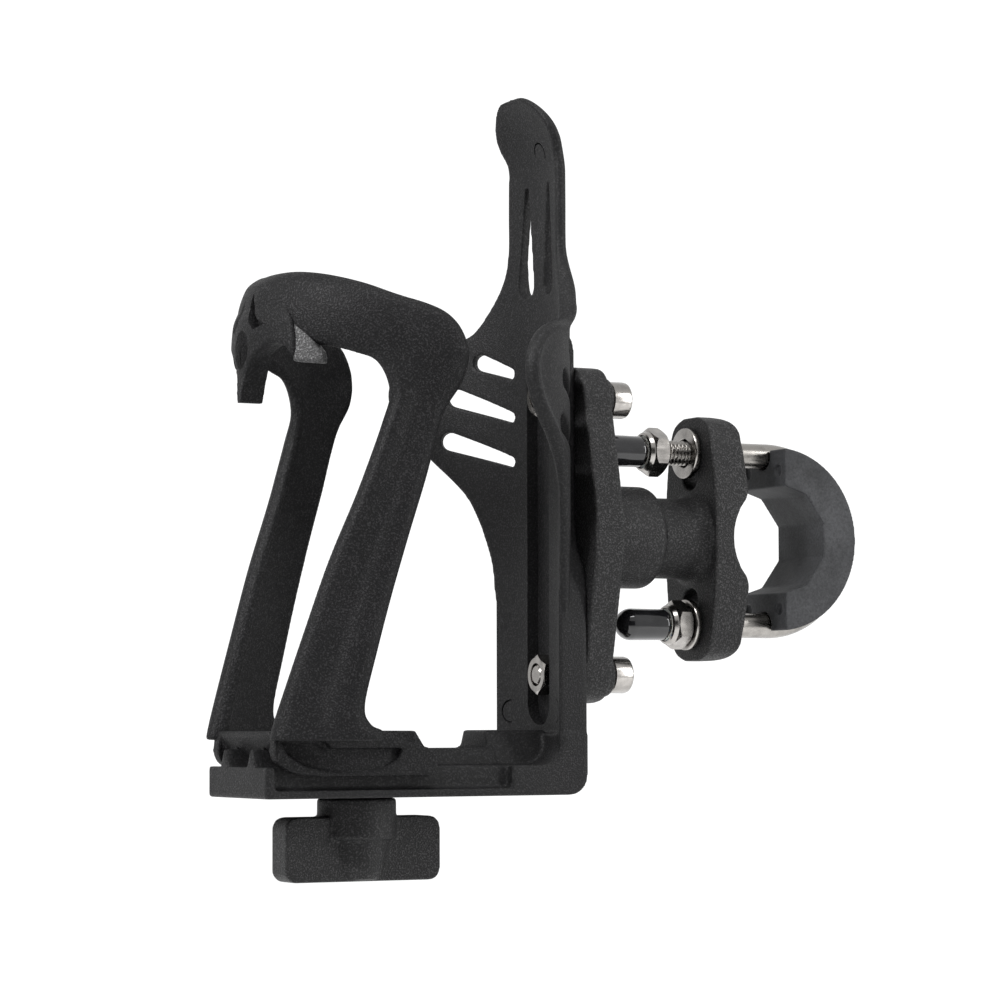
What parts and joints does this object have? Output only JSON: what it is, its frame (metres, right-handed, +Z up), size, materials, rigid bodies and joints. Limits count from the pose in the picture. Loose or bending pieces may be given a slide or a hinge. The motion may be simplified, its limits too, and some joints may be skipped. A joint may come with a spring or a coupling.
{
  "type": "water bottle cage",
  "caption": "Black plastic bottle cage with a back finger and wings, a sliding front hoop, a wing knob, and a swivelling U-bolt clamp for a handlebar.",
  "frame": {"origin": "centre of the clamped handlebar, midway across the clamp's width", "axes": "+Z up along the bottle, +X from the bottle towards the handlebar, +Y along the handlebar"},
  "size_m": [0.1596, 0.0732, 0.1783],
  "materials": {
    "black_plastic": "moulded black nylon with a fine sparkling grain",
    "grey_rubber": "dark grey moulded liner, finely grained",
    "black_vinyl": "dipped glossy black vinyl",
    "white_nylon": "plain white nylon",
    "bright_steel": "bright polished stainless steel",
    "brass": "turned brass"
  },
  "bodies": {
    "clamp": {"saddle_block": "black_plastic", "swivel_screw": "bright_steel", "leg_washer_upper": "bright_steel", "leg_washer_lower": "bright_steel"},
    "bolt_group": {"u_bolt": "bright_steel", "rubber_pad": "grey_rubber", "lock_nut_upper": "bright_steel", "lock_nut_lower": "bright_steel", "nylon_ring_upper": "white_nylon", "nylon_ring_lower": "white_nylon", "end_cap_upper": "black_vinyl", "end_cap_lower": "black_vinyl"},
    "cage": {"back_frame": "black_plastic", "mount_plate": "black_plastic", "swivel_nut": "bright_steel", "mount_screw_upper": "bright_steel", "mount_screw_lower": "bright_steel", "mount_nut_upper": "bright_steel", "mount_nut_lower": "bright_steel"},
    "arm": {"front_arm": "black_plastic", "clamp_bolt": "bright_steel"},
    "knob": {"wing_knob": "black_plastic", "knob_insert": "brass"}
  },
  "joints": [
    {"name": "swivel", "type": "hinge", "parent": "clamp", "child": "cage", "pos_m": [-0.03, 0, 0], "axis": [1, 0, 0], "continuous": true},
    {"name": "u_bolt_slide", "type": "slide", "parent": "clamp", "child": "bolt_group", "axis": [1, 0, 0], "range_m": [-0.0022, 0]},
    {"name": "arm_slide", "type": "slide", "parent": "cage", "child": "arm", "axis": [1, 0, 0], "range_m": [0, 0.015]},
    {"name": "knob_turn", "type": "hinge", "parent": "arm", "child": "knob", "pos_m": [-0.1046, 0, -0.068], "axis": [0, 0, 1], "continuous": true}
  ]
}
